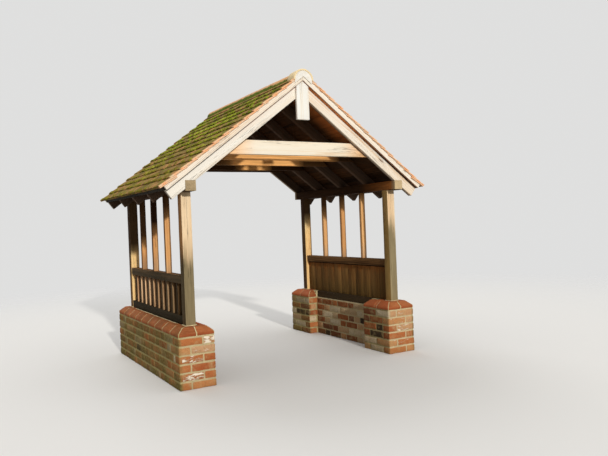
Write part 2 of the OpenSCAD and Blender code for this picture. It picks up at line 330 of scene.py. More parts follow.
def oak(name, tones, weather, inner=None, stain_and_painted_light=None, zones=(), foot_stain=None):
    """Oak with its grain along the x of own. tint: tone, painted shade, stain and painted light, shelter
    and painted shade.

    tones are pale, mid, dark and grey, weather is the share of grey. inner and stain are the colours
    where those numbers of tint are 1; on some timbers they are painted shade and painted sunlight.
    zones are (colour, height where it starts, height where it is full, share, wobble). foot_stain is
    what the stain turns to in the last zone.
    """
    look = Look(name)
    tone, painted_shade, stain_and_painted_light_share, shelter_and_painted_shade = look.tint
    own = look.own
    pale, mid, dark, grey = [rgb(*colour) for colour in tones]
    bend = own.stretch(1.1, 5, 5).cloud(1.0, 2.0, 0.5).output("Color")
    _, across, out = node(look.tree, "VectorMath", {0: bend, 1: (0.0, 0.03, 0.03), 2: own},
                          operation="MULTIPLY_ADD").split()
    reach = (across * across + out * out).calc("SQRT")
    rings = (reach * (2 * math.pi / GROWTH_RING)).calc("SINE").span(-1.0, 1.0)
    broad = own.stretch(0.9, 16, 16).cloud(1.0, 5, 0.6, 0.2)
    fine = own.stretch(7, 260, 260).cloud(1.0, 4, 0.65)
    pores = own.stretch(30, 900, 900).cloud(1.0, 2, 0.6)
    figure = broad * 0.62 + rings * 0.14 + fine * 0.30 + tone * 0.16
    colour = figure.ramp((0.36, dark), (0.52, mid), (0.70, pale))
    # Long drying checks, and a few knots to a timber.
    slit = (own.stretch(1.6, 75, 75).cloud(1.0, 3, 0.5, 0.4) - 0.5).calc("ABSOLUTE").span(0.010, 0.0)
    slit = slit * own.stretch(1.3, 9, 9).cloud(1.0, 2).span(0.52, 0.62)
    cells = node(look.tree, "TexVoronoi", {0: own.stretch(2.2, 9, 9), "Scale": 1.0, "Randomness": 1.0})
    knot = (cells + own.cloud(140, 3) * 0.08).span(0.150, 0.085)
    knot = knot * cells.output("Color").split()[0].span(0.5, 0.52)
    # Rain and sun turn it grey, and its foot darkens.
    silver = own.stretch(0.7, 6, 6).cloud(1.0, 6, 0.65).span(0.34, 0.66) * weather
    colour = mix(silver, colour, mix(fine.span(0.3, 0.7), grey, mid))
    drip = own.stretch(1.5, 14, 14).cloud(1.0, 5) - 0.5
    for zone_tone, start, full, share, wobble in zones:
        zone = (look.height + drip * wobble).span(start, full, 0.0, share)
        colour = mix(zone, colour, figured(figure, zone_tone))
    # The inner colour: unbleached wood out of the weather, and on the rafters, posts and plates also
    # painted shade.
    if inner:
        colour = mix(shelter_and_painted_shade * 0.94, colour, figured(figure, inner))
    # The stain colour: real stain on most timbers, painted sunlight on the roof boards, painted shade at
    # the first collar's ends and the barge boards' lower edges.
    if stain_and_painted_light:
        shade = figured(figure, stain_and_painted_light)
        if foot_stain:
            shade = mix(zone, shade, figured(figure, foot_stain))
        colour = mix(stain_and_painted_light_share * broad.span(0.30, 0.60, 0.98, 0.80), colour, shade)
    # Painted shade: dark brown where the low sun does not reach, under the eaves and on the collars behind
    # the first.
    colour = mix(painted_shade, colour, figured(figure, (61, 39, 22)))
    colour = mix(slit * 0.65, colour, mix(0.3, rgb(36, 24, 16), colour))
    colour = mix(knot * 0.7, colour, rgb(92, 52, 28))
    tall = fine * 0.7 + pores * 0.4 + rings * 0.2 - slit * 1.6
    return look.finish(colour, figure.span(0.3, 0.8, 0.80, 0.62), tall, 0.0014, 0.04)


def tile_material():
    """Plain clay tile under moss and lichen. tint: tone, seed, verge, moss."""
    look = Look("roof_tile")
    tone, _, verge, moss_share = look.tint
    sand = look.place.cloud(380, 3, 0.7)
    blotch = look.place.cloud(22, 6, 0.65)
    base = tone.ramp((0.0, rgb(118, 94, 60)), (0.35, rgb(148, 118, 74)), (0.7, rgb(170, 132, 84)),
                     (1.0, rgb(190, 140, 88)))
    film = moss_share * look.place.cloud(11, 7, 0.68, 0.5).span(0.44, 0.64)
    green = blotch.ramp((0.34, rgb(76, 76, 32)), (0.5, rgb(118, 120, 46)), (0.68, rgb(158, 158, 74)))
    lichen = look.place.cloud(48, 3, 0.5).span(0.64, 0.70, 0.0, 0.5)
    fresh = mix(blotch.span(0.4, 0.65), rgb(246, 180, 132), rgb(255, 220, 190))
    colour = layered(base, (blotch.span(0.44, 0.70, 0.0, 0.75), rgb(80, 70, 42)), (film, green),
                     (lichen, rgb(176, 168, 128)), (verge * blotch.span(0.68, 0.44, 0.75, 1.0), fresh))
    colour = sanded(colour, sand, (0.76, 0.76, 0.74), (1.36, 1.36, 1.30))
    return look.finish(colour, sand.span(0.2, 0.8, 0.82, 0.96), sand * 0.4 + film * blotch, 0.004, 0.04)


def moss_material():
    """Moss cushions, browner low on the slope. tint: tone, seed, how low, 0."""
    look = Look("moss")
    tone, _, low, _ = look.tint
    tuft = look.place.cloud(160, 4, 0.7)
    base = tone * 0.6 + look.place.cloud(18, 4) * 0.4
    colour = base.ramp((0.12, rgb(74, 76, 28)), (0.40, rgb(116, 126, 38)), (0.62, rgb(150, 160, 48)),
                       (0.86, rgb(186, 190, 80)))
    colour = mix(low * 0.5, colour, rgb(150, 124, 58))
    colour = sanded(colour, tuft, (0.54, 0.54, 0.48), (1.46, 1.46, 1.32), 0.3)
    return look.finish(colour, tuft.span(0.2, 0.8, 0.9, 1.0), tuft, 0.006, 0.03)


def ridge_material():
    """Pale clay ridge tile with moss on its flanks. tint: tone, seed, flank, moss."""
    look = Look("ridge_tile")
    tone, _, flank, moss_share = look.tint
    blotch = look.place.cloud(20, 6, 0.65)
    sand = look.place.cloud(420, 3, 0.7)
    base = tone.ramp((0.0, rgb(244, 192, 134)), (0.5, rgb(240, 186, 140)), (1.0, rgb(236, 190, 146)))
    share = (flank + blotch * 0.3).span(0.93, 1.05) * moss_share
    green = look.place.cloud(60, 5, 0.7) + flank * 0.35
    green = green.ramp((0.62, rgb(48, 66, 24)), (0.96, rgb(128, 142, 46)))
    colour = layered(base, (blotch.span(0.46, 0.70, 0.0, 0.7), rgb(206, 146, 98)),
                     (moss_share.span(0.5, 0.0, 0.0, 0.8), rgb(255, 236, 190)), (share, green))
    colour = sanded(colour, sand, (0.8, 0.8, 0.8), (1.15, 1.15, 1.15))
    return look.finish(colour, sand.span(0.2, 0.8, 0.78, 0.94), sand * 0.3 + share * blotch, 0.003, 0.06)


def post_oak(name, start, full):
    """Oak of a front post, grey below. The grey starts at start and is full at full."""
    # The inner colour, on the side towards the passage, is painted shade.
    return oak(name, [(252, 228, 192), (243, 210, 168), (204, 158, 114), (206, 186, 162)], 0.45,
               inner=(158, 128, 76), stain_and_painted_light=(168, 116, 66), foot_stain=(38, 32, 20),
               zones=[((130, 118, 88), start, full, 0.94, 0.5)])


BRICK_LOOK = brick_material()
JOINT_LOOK = mortar_material("joint_mortar", rgb(190, 174, 130), rgb(154, 138, 98), 0.3)
PALE_JOINT = mortar_material("coping_mortar", rgb(222, 208, 164), rgb(188, 172, 126), 0.3)
WHITE_MORTAR = mortar_material("ridge_mortar", rgb(255, 253, 249), rgb(246, 239, 227), 0.0)
VERGE_MORTAR = mortar_material("verge_mortar", rgb(244, 220, 194), rgb(222, 180, 146), 0.0)
COPING_LOOK = coping_material()
# Its dark inner colour, on the rafters behind the gable faces, is also painted shade; its stain colour, on
# the barge boards' lower edges, is partly painted shade.
PALE_OAK = oak("sun_bleached_oak", [(255, 252, 244), (252, 243, 228), (236, 202, 162), (246, 240, 230)],
               0.45, inner=(74, 46, 24), stain_and_painted_light=(146, 84, 38))
PENDANT_OAK = oak("pendant_oak", [(250, 251, 248), (248, 245, 237), (240, 219, 188), (250, 247, 240)], 0.45)
# Its stain colour is painted shade near the first collar's ends.
COLLAR_OAK = oak("collar_oak", [(252, 245, 230), (248, 234, 210), (230, 188, 142), (238, 226, 206)], 0.35,
                 inner=(252, 184, 106), stain_and_painted_light=(240, 180, 114))
POST_OAK = {-1: post_oak("left_post_oak", 1.34, 1.03), 1: post_oak("right_post_oak", 1.44, 1.18)}
# Its inner colour, on the side towards the passage, is painted shade.
REAR_OAK = oak("rear_post_oak", [(255, 230, 172), (255, 212, 144), (236, 170, 108), (228, 192, 144)], 0.35,
               inner=(70, 48, 32), stain_and_painted_light=(84, 58, 36))
STUD_OAK = oak("stud_oak", [(242, 190, 130), (230, 168, 104), (190, 128, 74), (200, 164, 124)], 0.35,
               stain_and_painted_light=(96, 62, 36), zones=[((196, 158, 120), 1.15, 0.98, 0.7, 0.4)])
BAR_OAK = oak("bar_oak", [(248, 210, 168), (236, 188, 140), (192, 138, 96), (196, 168, 136)], 0.4,
              inner=(108, 84, 54), stain_and_painted_light=(48, 40, 26), zones=[((124, 102, 76), 0.66, 0.50, 0.8, 0.3)])
RAIL_OAK = oak("rail_oak", [(158, 116, 74), (128, 92, 56), (84, 58, 36), (132, 112, 86)], 0.4,
               stain_and_painted_light=(66, 58, 42))
FOOT_OAK = oak("foot_rail_oak", [(84, 66, 44), (62, 47, 31), (40, 30, 20), (86, 78, 58)], 0.4,
               stain_and_painted_light=(50, 45, 32))
# The last zone, a near black line just under the mid rail, is painted shadow.
PANEL_OAK = oak("panel_oak", [(172, 128, 74), (134, 94, 52), (86, 58, 32), (112, 100, 64)], 0.5,
                stain_and_painted_light=(36, 29, 19),
                zones=[((156, 96, 46), 0.78, 0.88, 0.7, 0.25), ((104, 84, 46), 0.76, 0.58, 0.6, 0.2),
                       ((24, 18, 11), 0.868, 0.876, 0.95, 0.0)])
# The boards' dark browns are partly painted shade under the roof; the stain colour is painted sunlight
# behind the front gable.
DARK_OAK = oak("roof_oak", [(92, 60, 34), (66, 42, 24), (36, 24, 14), (66, 52, 36)], 0.3,
               stain_and_painted_light=(228, 142, 78))
EAVES_OAK = oak("eaves_oak", [(46, 38, 26), (32, 26, 17), (20, 16, 11), (52, 47, 35)], 0.4)
# Its inner colour, over most of the plates, is painted shade; its orange near the front gable is painted
# sunlight.
PLATE_OAK = oak("plate_oak", [(236, 158, 88), (206, 130, 66), (144, 90, 46), (140, 104, 64)], 0.3,
                inner=(34, 24, 15), stain_and_painted_light=(232, 206, 162))
TILE_LOOK = tile_material()
MOSS_LOOK = moss_material()
RIDGE_LOOK = ridge_material()


# Shapes

class Shape:
    """Collects the points and faces of one piece, with what its materials read."""

    def __init__(self):
        self.points, self.faces, self.looks = [], [], []
        self.place, self.tint = [], []

    def add(self, points, faces, tint=(0.0, 0.0, 0.0, 0.0), look=0, place=None):
        """tint is one for all the points, or a list with one for each."""
        start = len(self.points)
        self.points += points
        self.faces += [[start + i for i in face] for face in faces]
        self.looks += [look] * len(faces)
        self.place += place or points
        self.tint += tint if isinstance(tint, list) else [tint] * len(points)

    def build(self, name, slot, looks, *nodes):
        """Makes the piece. looks are its materials, nodes what it stands for."""
        mesh = bpy.data.meshes.new(name)
        mesh.from_pydata(self.points, [], self.faces)
        for look in looks:
            mesh.materials.append(look)
        mesh.polygons.foreach_set("material_index", self.looks)
        finish_piece(name, mesh, self.place, self.tint, slot, *nodes)


def finish_piece(name, mesh, place, tint, slot, *nodes):
    """Stores place and tint, turns the faces outward, puts the piece under its body and hides the nodes it
    stands for.
    """
    for field, kind, key, values in (("place", "FLOAT_VECTOR", "vector", place),
                                     ("tint", "FLOAT_COLOR", "color", tint)):
        numbers = [number for value in values for number in value]
        mesh.attributes.new(field, kind, "POINT").data.foreach_set(key, numbers)
    work = bmesh.new()
    work.from_mesh(mesh)
    bmesh.ops.recalc_face_normals(work, faces=work.faces)
    work.to_mesh(mesh)
    work.free()
    mesh.polygons.foreach_set("use_smooth", [True] * len(mesh.polygons))
    mesh.set_sharp_from_angle(angle=SHARP_ANGLE)
    piece = bpy.data.objects.new(name, mesh)
    bpy.context.collection.objects.link(piece)
    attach(piece, "root")
    if nodes:
        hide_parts(*nodes)


def fade(value, low, high):
    """0 at low to 1 at high, straight between them."""
    return min(max((value - low) / (high - low), 0.0), 1.0)


def somewhere(rng, reach=90):
    """A place at random."""
    return Vector([rng.uniform(0, reach) for _ in range(3)])


def grain_heart(rng, low):
    """Where in its tree a timber was cut: a shift of its place in the grain."""
    along, side = rng.uniform(0, 60), rng.choice((-1, 1))
    return Vector((along, side * rng.uniform(0.03, 0.11), rng.uniform(low, 0.09)))


def lines(low, high, edge, step):
    """Places from low to high: close at both ends, then about a step apart."""
    count = max(1, round((high - low - 2 * edge) / step))
    inner = [low + edge + (high - low - 2 * edge) * i / count for i in range(count + 1)]
    return [low] + inner + [high]


def grid_box(*cuts):
    """The surface of a box cut at these places on its three axes: its points and faces."""
    index, points, faces = {}, [], []

    def corner(*key):
        if key not in index:
            index[key] = len(points)
            points.append(Vector([places[i] for places, i in zip(cuts, key)]))
        return index[key]

    for axis in range(3):
        first, second = [a for a in range(3) if a != axis]
        for end in (0, len(cuts[axis]) - 1):
            for i in range(len(cuts[first]) - 1):
                for j in range(len(cuts[second]) - 1):
                    face = []
                    for di, dj in ((0, 0), (1, 0), (1, 1), (0, 1)):
                        key = [0, 0, 0]
                        key[axis], key[first], key[second] = end, i + di, j + dj
                        face.append(corner(*key))
                    faces.append(face)
    return points, faces


def tube_faces(rings, ring):
    """Faces between rings of points that follow each other."""
    starts = range(0, (rings - 1) * ring, ring)
    return [[at + j, at + (j + 1) % ring, at + ring + (j + 1) % ring, at + ring + j]
            for at in starts for j in range(ring)]


def slab_faces(rows, cols):
    """Faces of a slab whose two sides have rows and cols of points, the one after the other."""
    def at(layer, row, col):
        return (layer * rows + row) * cols + col

    faces = [[at(layer, i, j), at(layer, i, j + 1), at(layer, i + 1, j + 1), at(layer, i + 1, j)]
             for i in range(rows - 1) for j in range(cols - 1) for layer in (0, 1)]
    border = [(0, j) for j in range(cols - 1)] + [(i, cols - 1) for i in range(rows - 1)]
    border += [(rows - 1, j) for j in range(cols - 1, 0, -1)] + [(i, 0) for i in range(rows - 1, 0, -1)]
    for a, b in zip(border, border[1:] + border[:1]):
        faces.append([at(0, *a), at(0, *b), at(1, *b), at(1, *a)])
    return faces


def held(point, low, high, margin):
    """The nearest place that is a margin inside a box."""
    return Vector([min(max(point[a], low[a] + margin), high[a] - margin) for a in range(3)])


def worn(point, low, high, radius, rough, seed):
    """A box's surface point with a worn arris and an uneven face."""
    shake = noise.noise(point * 28 + seed)
    wear = radius * (1.0 + 1.1 * noise.noise(point * 17.0 - seed))
    core = held(point, low, high, wear)
    out = point - core
    return core + out * ((wear - rough * (0.5 + 0.9 * shake)) / out.length) if out.length > 1e-9 else point


def worn_block(low, high, radius, rough, rng, step=0.026):
    """A block with worn arrises: its points and faces."""
    seed = somewhere(rng)
    points, faces = grid_box(*[lines(low[a], high[a], radius, step) for a in range(3)])
    return [worn(p, low, high, radius, rough, seed) for p in points], faces


def wall_point(side, u, y, z):
    """The world's place of a point over a wall."""
    return Vector((side * (HALF_WIDTH - u), y - HALF_LENGTH, z))


# Brickwork

def run_of(tokens, start, end, ends_open=False):
    """Places of the bricks named by tokens, their joints stretched to fill start to end.

    ends_open leaves a joint at both ends too.
    """
    widths = [BRICK[token] for token in tokens]
    joint = (end - start - sum(widths)) / (len(tokens) + (1 if ends_open else -1))
    at = start + (joint if ends_open else 0)
    places = []
    for width in widths:
        places.append((at, at + width))
        at += width + joint
    return places


def pier_bricks(odd, swapped, corner):
    """Bricks of a pier's course: (u0, u1, y0, y1), y from its free end.

    corner is the length of its outer corner brick. An even course has two stretchers towards the
    passage, an odd one a stretcher between headers. swapped turns that round.
    """
    inner_start = PIER_WIDTH - BRICK["H"]
    past_corner = BRICK["H" if odd else "S"]
    bricks = [(0, past_corner, 0, corner)]
    if odd == swapped:
        if odd:
            bricks.append((past_corner + JOINT, inner_start - JOINT, 0, BRICK["H"]))
        bricks.append((inner_start, PIER_WIDTH, 0, BRICK["S"]))
        bricks.append((inner_start, PIER_WIDTH, PIER_LENGTH - BRICK["S"], PIER_LENGTH))
    else:
        starts = (past_corner + JOINT, inner_start, BRICK["H"] + JOINT)
        places = run_of("HSH", 0, PIER_LENGTH)
        bricks += [(start, PIER_WIDTH, *place) for start, place in zip(starts, places)]
    return bricks


def course_bricks(side, odd):
    """Bricks of one course of a side: (u0, u1, y0, y1)."""
    outer = run_of("SHSHSHHSHSHS" if odd else "HcSHSHSHSHSHcH", 0, LENGTH)
    corner = outer[0][1]
    bricks = pier_bricks(odd, False, corner)
    bricks += [(u0, u1, LENGTH - y1, LENGTH - y0) for u0, u1, y0, y1 in pier_bricks(odd, side > 0, corner)]
    bricks += [(0, BRICK_DEPTH, *place) for place in outer[1:-1]]
    wall = run_of("QHSHSHQ" if odd else "HSHSHSH", PIER_LENGTH, LENGTH - PIER_LENGTH, True)
    return bricks + [(WALL_THICKNESS - BRICK_DEPTH, WALL_THICKNESS, *place) for place in wall]


def part_of_wall(y):
    """Which of a side's three walls is there."""
    if y < PIER_LENGTH:
        return "front_pier"
    return "rear_pier" if y > LENGTH - PIER_LENGTH else "wall"


def film_and_painted_shade(from_outside, inward, part):
    """How much film a brick's point gets: the outer face most, then the faces towards the passage. On the
    rear piers' inner faces it is mostly painted shade.
    """
    if from_outside < 2 * NEAR:
        return 1.0
    if part == "wall":
        return 0.16
    return {"front_pier": 0.22, "rear_pier": 0.75}[part] if inward > PIER_WIDTH - NEAR else 0.0


def joint_paleness(side, p, part):
    """Fresher mortar shows on the piers' fronts, and on top of the wall between them."""
    if part == "wall":
        return 0.7 if p.z > WALL_HEIGHT - 0.010 else 0.55 * float(side > 0)
    if p.y < JOINT_RECESS + 0.004:
        return 0.55 if side > 0 else 0.35
    return 0.0


# Bricks that stand out: u, y, course from the top, tone and, if any, old paint and the tone of
# the face towards the passage.
NOTED = {
    -1: [(0.10, 0, 0, 0.50), (0.28, 0, 0, 0.66, 0.85), (0.05, 0, 1, 0.62), (0.20, 0, 1, 0.72, 0.12),
         (0.10, 0, 2, 0.46, 0.58), (0.28, 0, 2, 0.38), (0.05, 0, 3, 0.50), (0.20, 0, 3, 0.36),
         (0.10, 0, 4, 0.42, 0.52), (0.28, 0, 4, 0.45, 0.10), (0.05, 0, 5, 0.50, 0.10), (0.20, 0, 5, 0.56)],
    1: [(0.28, 0, 0, 0.70, 0.12, 0.93), (0.10, 0, 0, 0.68, 0.15), (0.20, 0, 1, 0.61, 0.15),
        (0.05, 0, 1, 0.72), (0.28, 0, 2, 0.36), (0.10, 0, 2, 0.70, 0.25), (0.20, 0, 3, 0.44, 0, 0.26),
        (0.05, 0, 3, 0.38), (0.28, 0, 4, 0.63, 0.20), (0.10, 0, 4, 0.46, 0.10), (0.328, 0.34, 0, 0.16),
        (0.328, 0.20, 1, 0.26), (0.328, 0.15, 2, 0.02), (0.328, 0.34, 2, 0.38), (0.328, 0.226, 3, 0.02),
        (0.215, 0.60, 2, 0.01), (0.215, 1.34, 5, 0.03), (0.215, 1.12, 3, 0.93), (0.215, 0.83, 4, 0.92),
        (0.215, 0.958, 0, 0.24), (0.215, 1.01, 2, 0.32), (0.215, 1.45, 1, 0.30),
        (0.328, 1.62, 0, 0.44, 0, 0.92), (0.328, 1.81, 0, 0.96), (0.328, 1.70, 1, 0.68, 0, 0.14),
        (0.328, 1.62, 2, 0.30, 0, 0.03), (0.328, 1.81, 2, 0.02), (0.328, 1.98, 2, 0.92),
        (0.328, 1.70, 3, 0.88, 0, 0.30), (0.328, 1.62, 4, 0.47, 0, 0.20), (0.328, 1.81, 4, 0.94),
        (0.328, 1.70, 5, 0.42, 0, 0.20), (0.05, 0, 5, 0.60), (0.20, 0, 5, 0.50, 0.05)],
}
# Stretchers laid as two halves: side, u, y, course.
HALVED = [(1, 0.20, 0.65, 2), (1, 0.30, 0.10, 2)]
# A random brick's tones, mostly red to orange, some buff or pink, few near black: up to which
# pick, from, to. The right side has more of the last.
TONES = {side: [(0.03, 0.0, 0.05), (0.24, 0.10, 0.26), (reds_end, 0.30, 0.62), (1.0, 0.64, 1.0)]
         for side, reds_end in ((-1, 0.72), (1, 0.42))}
PAINTED_SHARE = 0.08


def holds(brick, u, y):
    """Whether a place is on a brick."""
    u0, u1, y0, y1 = brick
    return u0 - NEAR <= u <= u1 + NEAR and y0 - NEAR <= y <= y1 + NEAR


def noted_brick(side, brick, course):
    """The noted tone, old paint and inner tone of a brick, or None."""
    for u, y, its_course, tone, *more in NOTED[side]:
        if its_course == course and holds(brick, u, y):
            return tone, *more, *(0.0, tone)[len(more):]
    return None


def laid(side, course):
    """Bricks of one course, with some stretchers laid as two halves."""
    for brick in course_bricks(side, course % 2 == 1):
        if any(s == side and c == course and holds(brick, u, y) for s, u, y, c in HALVED):
            u0, u1, y0, y1 = brick
            middle = (y0 + y1) / 2
            yield u0, u1, y0, middle - JOINT / 2
            yield u0, u1, middle + JOINT / 2, y1
        else:
            yield brick


def brick_tone(rng, side):
    """A tone at random."""
    pick = rng.random()
    low, high = next(tones for limit, *tones in TONES[side] if pick < limit)
    return rng.uniform(low, high)


def add_brick(shape, side, part, course, brick, rng):
    """One brick, slightly out of its place and with worn arrises."""
    tone, paint = brick_tone(rng, side), 0.0
    if rng.random() < PAINTED_SHARE:
        paint = rng.uniform(0.2, 0.5)
    tone, paint, inner_tone = noted_brick(side, brick, course) or (tone, paint, tone)
    du, dy = [rng.uniform(-0.0012, 0.0012) for _ in range(2)]
    u0, u1, y0, y1 = brick
    top = WALL_HEIGHT - course * BRICK_COURSE
    low = (u0 + max(du, 0), y0 + max(dy, 0), top - BRICK_COURSE)
    high = (u1 + min(du, 0), y1 + min(dy, 0), top - BED_JOINT - rng.uniform(0, 0.001))
    points, faces = worn_block(low, high, BRICK_ARRIS, 0.0022, rng)
    seed = rng.random()
    tints = [(inner_tone if p.x > PIER_WIDTH - NEAR else tone, seed, paint, film_and_painted_shade(p.x, p.x, part))
             for p in points]
    shape.add([wall_point(side, *p) for p in points], faces, tints)


def brickwork(side):
    """The three walls of one side: mortar set in by the joints' depth, and bricks laid over it."""
    rng = random.Random(11 + (side > 0))
    shapes = {}
    rear_start = LENGTH - PIER_LENGTH
    for part, width, y0, y1, inset in (("front_pier", PIER_WIDTH, 0, PIER_LENGTH, JOINT_RECESS),
                                       ("wall", WALL_THICKNESS, PIER_LENGTH, rear_start, -0.01),
                                       ("rear_pier", PIER_WIDTH, rear_start, LENGTH, JOINT_RECESS)):
        shapes[part] = Shape()
        low = (JOINT_RECESS, y0 + inset, 0)
        high = (width - JOINT_RECESS, y1 - inset, WALL_HEIGHT - 0.002)
        points, faces = worn_block(low, high, 0.003, 0.0016, rng, 0.03)
        tints = [(joint_paleness(side, p, part), 0.0,
                  film_and_painted_shade(p.x - JOINT_RECESS, p.x + JOINT_RECESS, part), 0.0) for p in points]
        shapes[part].add([wall_point(side, *p) for p in points], faces, tints, 1)
    for course in range(WALL_COURSES):
        for brick in laid(side, course):
            part = part_of_wall((brick[2] + brick[3]) / 2)
            add_brick(shapes[part], side, part, course, brick, rng)
    for part, shape in shapes.items():
        node_name = f"{SIDES[side]}_{part}"
        shape.build(node_name + "_brickwork", "brick", [BRICK_LOOK, JOINT_LOOK], node_name)


# A coping brick's section: (depth from the face, height above the wall).
COPING_SECTION = [
    (0.0015, 0.0010), (0.0, 0.0035), (0.0, 0.018), (0.0016, 0.0250), (0.0060, 0.0325), (0.0125, 0.0390),
    (0.0440, 0.0655), (0.0500, 0.0700), (0.0570, 0.0733), (0.0680, 0.0748), (0.1000, 0.0750),
    (0.1020, 0.0735), (0.1020, 0.0010),
]


def coping_brick(shape, place, start, end, mitres, rng, outer, inner=0.0, joint=JOINT):
    """A splayed brick along a run, from start to end on the face line.

    place(s, depth, z) gives its points in the world. mitres says how each end moves with depth:
    1 shortens the brick by its depth, 0 is square.
    """
    count = max(3, round((end - start) / 0.03))
    seed = somewhere(rng)
    tone = rng.random()
    points, spots = [], []
    stations = [0.0, 0.025] + [i / count for i in range(1, count)] + [0.975, 1.0]
    for t in stations:
        pinch = 0.0016 if t in (0.0, 1.0) else 0.0
        for d, z in COPING_SECTION:
            first = start + joint / 2 + mitres[0] * (d + JOINT * 0.2)
            last = end - joint / 2 - mitres[1] * (d + JOINT * 0.2)
            depth = d + (pinch if d < 0.05 else -pinch if d > 0.1 else 0)
            height = z + (-pinch if z > 0.03 else pinch if z < 0.005 else 0)
            p = Vector((first + (last - first) * t, depth, WALL_HEIGHT + height))
            p += Vector((0, 1, 1)) * 0.0009 * noise.noise(p * 22 + seed)
            points.append(place(*p))
            spots.append(p + seed * 0.2)
    ring = len(COPING_SECTION)
    ends = [list(range(ring)), list(range(len(points) - ring, len(points)))]
    tint = (tone, rng.random(), inner, outer)
    shape.add(points, tube_faces(len(stations), ring) + ends, tint, place=spots)


def cap_point(side, rear, row, s, depth, z):
    """A point of a pier's coping. row is its front, inner or back row of bricks."""
    u, y = {"front": (s, depth), "inner": (PIER_WIDTH - depth, s),
            "back": (PIER_WIDTH - s, PIER_LENGTH - depth)}[row]
    return wall_point(side, u, LENGTH - y if rear else y, z)


def outer_row_point(side, s, depth, z):
    """A point of the coping along the outer side."""
    return wall_point(side, depth, s, z)


def pier_coping(shape, side, rear, rng):
    """The coping bricks of a pier. One has a short one among its inner bricks."""
    width, middle = PIER_WIDTH / 2, PIER_LENGTH / 2
    slip = COPING_SLIP / 2 if side > 0 and not rear else 0
    for row, start, stop, mitres in (("front", 0, width, (1, 0)), ("front", width, PIER_WIDTH, (0, 1)),
                                     ("inner", 0, middle - slip, (1, 0)),
                                     ("inner", middle - slip, middle + slip, (0, 0)),
                                     ("inner", middle + slip, PIER_LENGTH, (0, 1)),
                                     ("back", 0, PIER_WIDTH - WALL_THICKNESS, (1, 0))):
        if stop > start:
            place = partial(cap_point, side, rear, row)
            coping_brick(shape, place, start, stop, mitres, rng, 0.3, float(row == "inner"))


def pier_filling(shape, side, rear, rng):
    """Two bricks inside a pier's coping, and mortar round the post's foot on them."""
    inner = COPING_DEPTH + JOINT / 2
    for first in (inner, PIER_LENGTH / 2 + JOINT / 2):
        ends = sorted(cap_point(side, rear, "front", 0, y, 0).y
                      for y in (first, first + PIER_LENGTH / 2 - COPING_DEPTH - JOINT))
        add_filling(shape, side, inner, PIER_WIDTH - inner, *ends, -0.0005, 0, rng)
    low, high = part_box(f"{SIDES[side]}_{'rear' if rear else 'front'}_post")
    near, far = sorted((abs(low.x), abs(high.x)))
    add_filling(shape, side, HALF_WIDTH - far - POINTING, HALF_WIDTH - near + POINTING,
                low.y - POINTING, high.y + POINTING, 0.006, 1, rng)


def coping(side):
    """The coping of one side, with its joints and what fills its flat top."""
    rng = random.Random(21 + (side > 0))
    shape = Shape()
    count = round(LENGTH / COPING_PITCH)
    for i in range(count):
        coping_brick(shape, partial(outer_row_point, side), LENGTH * i / count, LENGTH * (i + 1) / count,
                     (i == 0, i == count - 1), rng, 1.0, joint=OUTER_COPING_JOINT)
    for rear in (False, True):
        pier_coping(shape, side, rear, rng)
        pier_filling(shape, side, rear, rng)
    under_piers = HALF_LENGTH - PIER_LENGTH + 0.1
    add_filling(shape, side, COPING_DEPTH - POINTING, COPING_DEPTH + 0.004, -under_piers, under_piers,
                0.0035, 1, rng)
    node_name = f"{SIDES[side]}_coping"
    add_node_core(shape, node_name, COPING_RECESS)
    shape.build(node_name + "_bricks", "coping_brick", [COPING_LOOK, PALE_JOINT], node_name)


def add_filling(shape, side, u0, u1, y0, y1, rise, look, rng):
    """Brick or mortar in the coping's flat top. rise is how far it stands above that."""
    low, high = (u0, y0, COPING_TOP - 0.02), (u1, y1, COPING_TOP + rise)
    points, faces = worn_block(low, high, 0.004, 0.0022, rng, 0.014)
    made = [Vector((side * (HALF_WIDTH - p.x), p.y, p.z)) for p in points]
    shape.add(made, faces, (rng.random(), rng.random(), 0.0, 0.0), look)


def clean_copy(node_name):
    """A node's mesh with whole flat faces."""
    work = bmesh.new()
    work.from_mesh(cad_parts[node_name].data)
    bmesh.ops.remove_doubles(work, verts=work.verts, dist=0.00002)
    bmesh.ops.dissolve_limit(work, angle_limit=math.radians(0.5), verts=work.verts, edges=work.edges)
    return work


def add_node_core(shape, node_name, inset):
    """The node's own solid, set in from its faces, as the mortar between the bricks."""
    work = clean_copy(node_name)
    bmesh.ops.recalc_face_normals(work, faces=work.faces)
    low = min(v.co.z for v in work.verts)
    moved = {v: v.co - v.normal * inset * v.calc_shell_factor() for v in work.verts}
    for v, co in moved.items():
        v.co = Vector((co.x, co.y, low - 0.003 if v.co.z < low + 0.001 else co.z))
    bmesh.ops.triangulate(work, faces=[f for f in work.faces if len(f.verts) > 4])
    bmesh.ops.subdivide_edges(work, edges=work.edges, cuts=3, use_grid_fill=True)
    work.verts.index_update()
    points = [v.co + v.normal * 0.0012 * noise.noise(v.co * 40) for v in work.verts]
    tints = [(0.0, 0.0, float(abs(v.co.x) > HALF_WIDTH - 0.004 and v.co.z < COPING_TOP - 0.04), 0.0)
             for v in work.verts]
    shape.add(points, [[v.index for v in f.verts] for f in work.faces], tints, 1)
    work.free()


# Timber

# How far apart a timber is cut across, and how far its surface wanders.
CUT = 0.07
WANDER = 0.0011


def rounded_middle(island):
    """What the timbers of a node are sorted by: y, x and z."""
    return [round(sum(v.co[axis] for v in island) / len(island), 3) for axis in (1, 0, 2)]


def islands(work):
    """The separate solids of a mesh, each a list of its points."""
    left, found = set(work.verts), []
    while left:
        stack, island = [left.pop()], []
        while stack:
            v = stack.pop()
            island.append(v)
            others = {e.other_vert(v) for e in v.link_edges} & left
            left -= others
            stack += others
        found.append(island)
    return sorted(found, key=rounded_middle)


